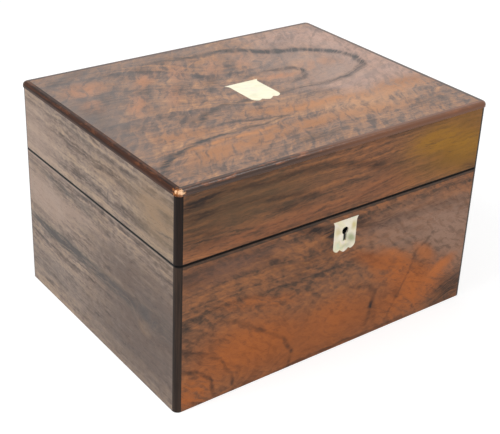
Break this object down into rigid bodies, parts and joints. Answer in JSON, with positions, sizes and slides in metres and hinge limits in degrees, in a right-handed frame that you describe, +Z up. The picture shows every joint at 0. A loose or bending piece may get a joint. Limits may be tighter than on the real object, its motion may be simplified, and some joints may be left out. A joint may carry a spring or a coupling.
{
  "type": "work box",
  "caption": "Veneered wooden work box with a hinged lid, mother-of-pearl inlays, a keyed box lock and a lift-out divided sewing tray.",
  "frame": {"origin": "middle of the underside", "axes": "+X to the right along the front, +Y from the front to the hinged back, +Z up"},
  "size_m": [0.2814, 0.2194, 0.173],
  "materials": {
    "carcass_wood": "planed, unfinished",
    "rosewood_veneer": "worn French polish over figured veneer",
    "rosewood_trim": "dark polished rosewood",
    "pearl": "polished mother-of-pearl",
    "lining_paper": "matt glazed paper on card",
    "silk": "ribbed silk",
    "tray_wood": "thin polished wood",
    "hardware_brass": "dull brass",
    "lock_steel": "dark filed steel"
  },
  "bodies": {
    "case": {"case_front_board": "carcass_wood", "case_back_board": "carcass_wood", "case_left_board": "carcass_wood", "case_right_board": "carcass_wood", "case_bottom_board": "carcass_wood", "case_front_veneer": "rosewood_veneer", "case_back_veneer": "rosewood_veneer", "case_left_veneer": "rosewood_veneer", "case_right_veneer": "rosewood_veneer", "case_corner_beads": "rosewood_trim", "case_rim_facing": "rosewood_trim", "floor_lining": "lining_paper", "case_wall_lining": "lining_paper", "tray_rests": "lining_paper", "escutcheon": "pearl", "lock_plate": "hardware_brass", "lock_cap": "hardware_brass", "lock_spring": "lock_steel", "lock_drill_pin": "lock_steel", "lock_selvedge_screws": "hardware_brass", "lock_plate_screws": "hardware_brass", "left_hinge_case_leaf": "hardware_brass", "right_hinge_case_leaf": "hardware_brass", "left_hinge_pin": "hardware_brass", "right_hinge_pin": "hardware_brass", "hinge_case_screws": "hardware_brass"},
    "lid": {"lid_front_board": "carcass_wood", "lid_back_board": "carcass_wood", "lid_left_board": "carcass_wood", "lid_right_board": "carcass_wood", "lid_top_board": "carcass_wood", "lid_top_veneer": "rosewood_veneer", "lid_front_veneer": "rosewood_veneer", "lid_back_veneer": "rosewood_veneer", "lid_left_veneer": "rosewood_veneer", "lid_right_veneer": "rosewood_veneer", "lid_corner_beads": "rosewood_trim", "lid_rim_facing": "rosewood_trim", "lid_wall_lining": "lining_paper", "lid_pad": "silk", "cartouche": "pearl", "front_moulding": "rosewood_trim", "back_moulding": "rosewood_trim", "left_moulding": "rosewood_trim", "right_moulding": "rosewood_trim", "left_hinge_lid_leaf": "hardware_brass", "right_hinge_lid_leaf": "hardware_brass", "hinge_lid_screws": "hardware_brass", "link_plate": "hardware_brass", "link_plate_screws": "hardware_brass"},
    "tray": {"tray_floor": "tray_wood", "tray_long_walls": "tray_wood", "tray_end_walls": "tray_wood", "tray_long_partitions": "tray_wood", "tray_cross_partitions": "tray_wood", "pincushion": "silk", "tray_ribbons": "silk"},
    "lock_bolt": {"lock_bolt": "lock_steel"}
  },
  "joints": [
    {"name": "lid_hinge", "type": "hinge", "parent": "case", "child": "lid", "pos_m": [0, 0.1065, 0.1176], "axis": [-1, 0, 0], "range_deg": [0, 94]},
    {"name": "tray_lift", "type": "slide", "parent": "case", "child": "tray", "axis": [0, 0, 1], "range_m": [0, 0.033]},
    {"name": "bolt_throw", "type": "slide", "parent": "case", "child": "lock_bolt", "axis": [1, 0, 0], "range_m": [0, 0.0044]}
  ]
}
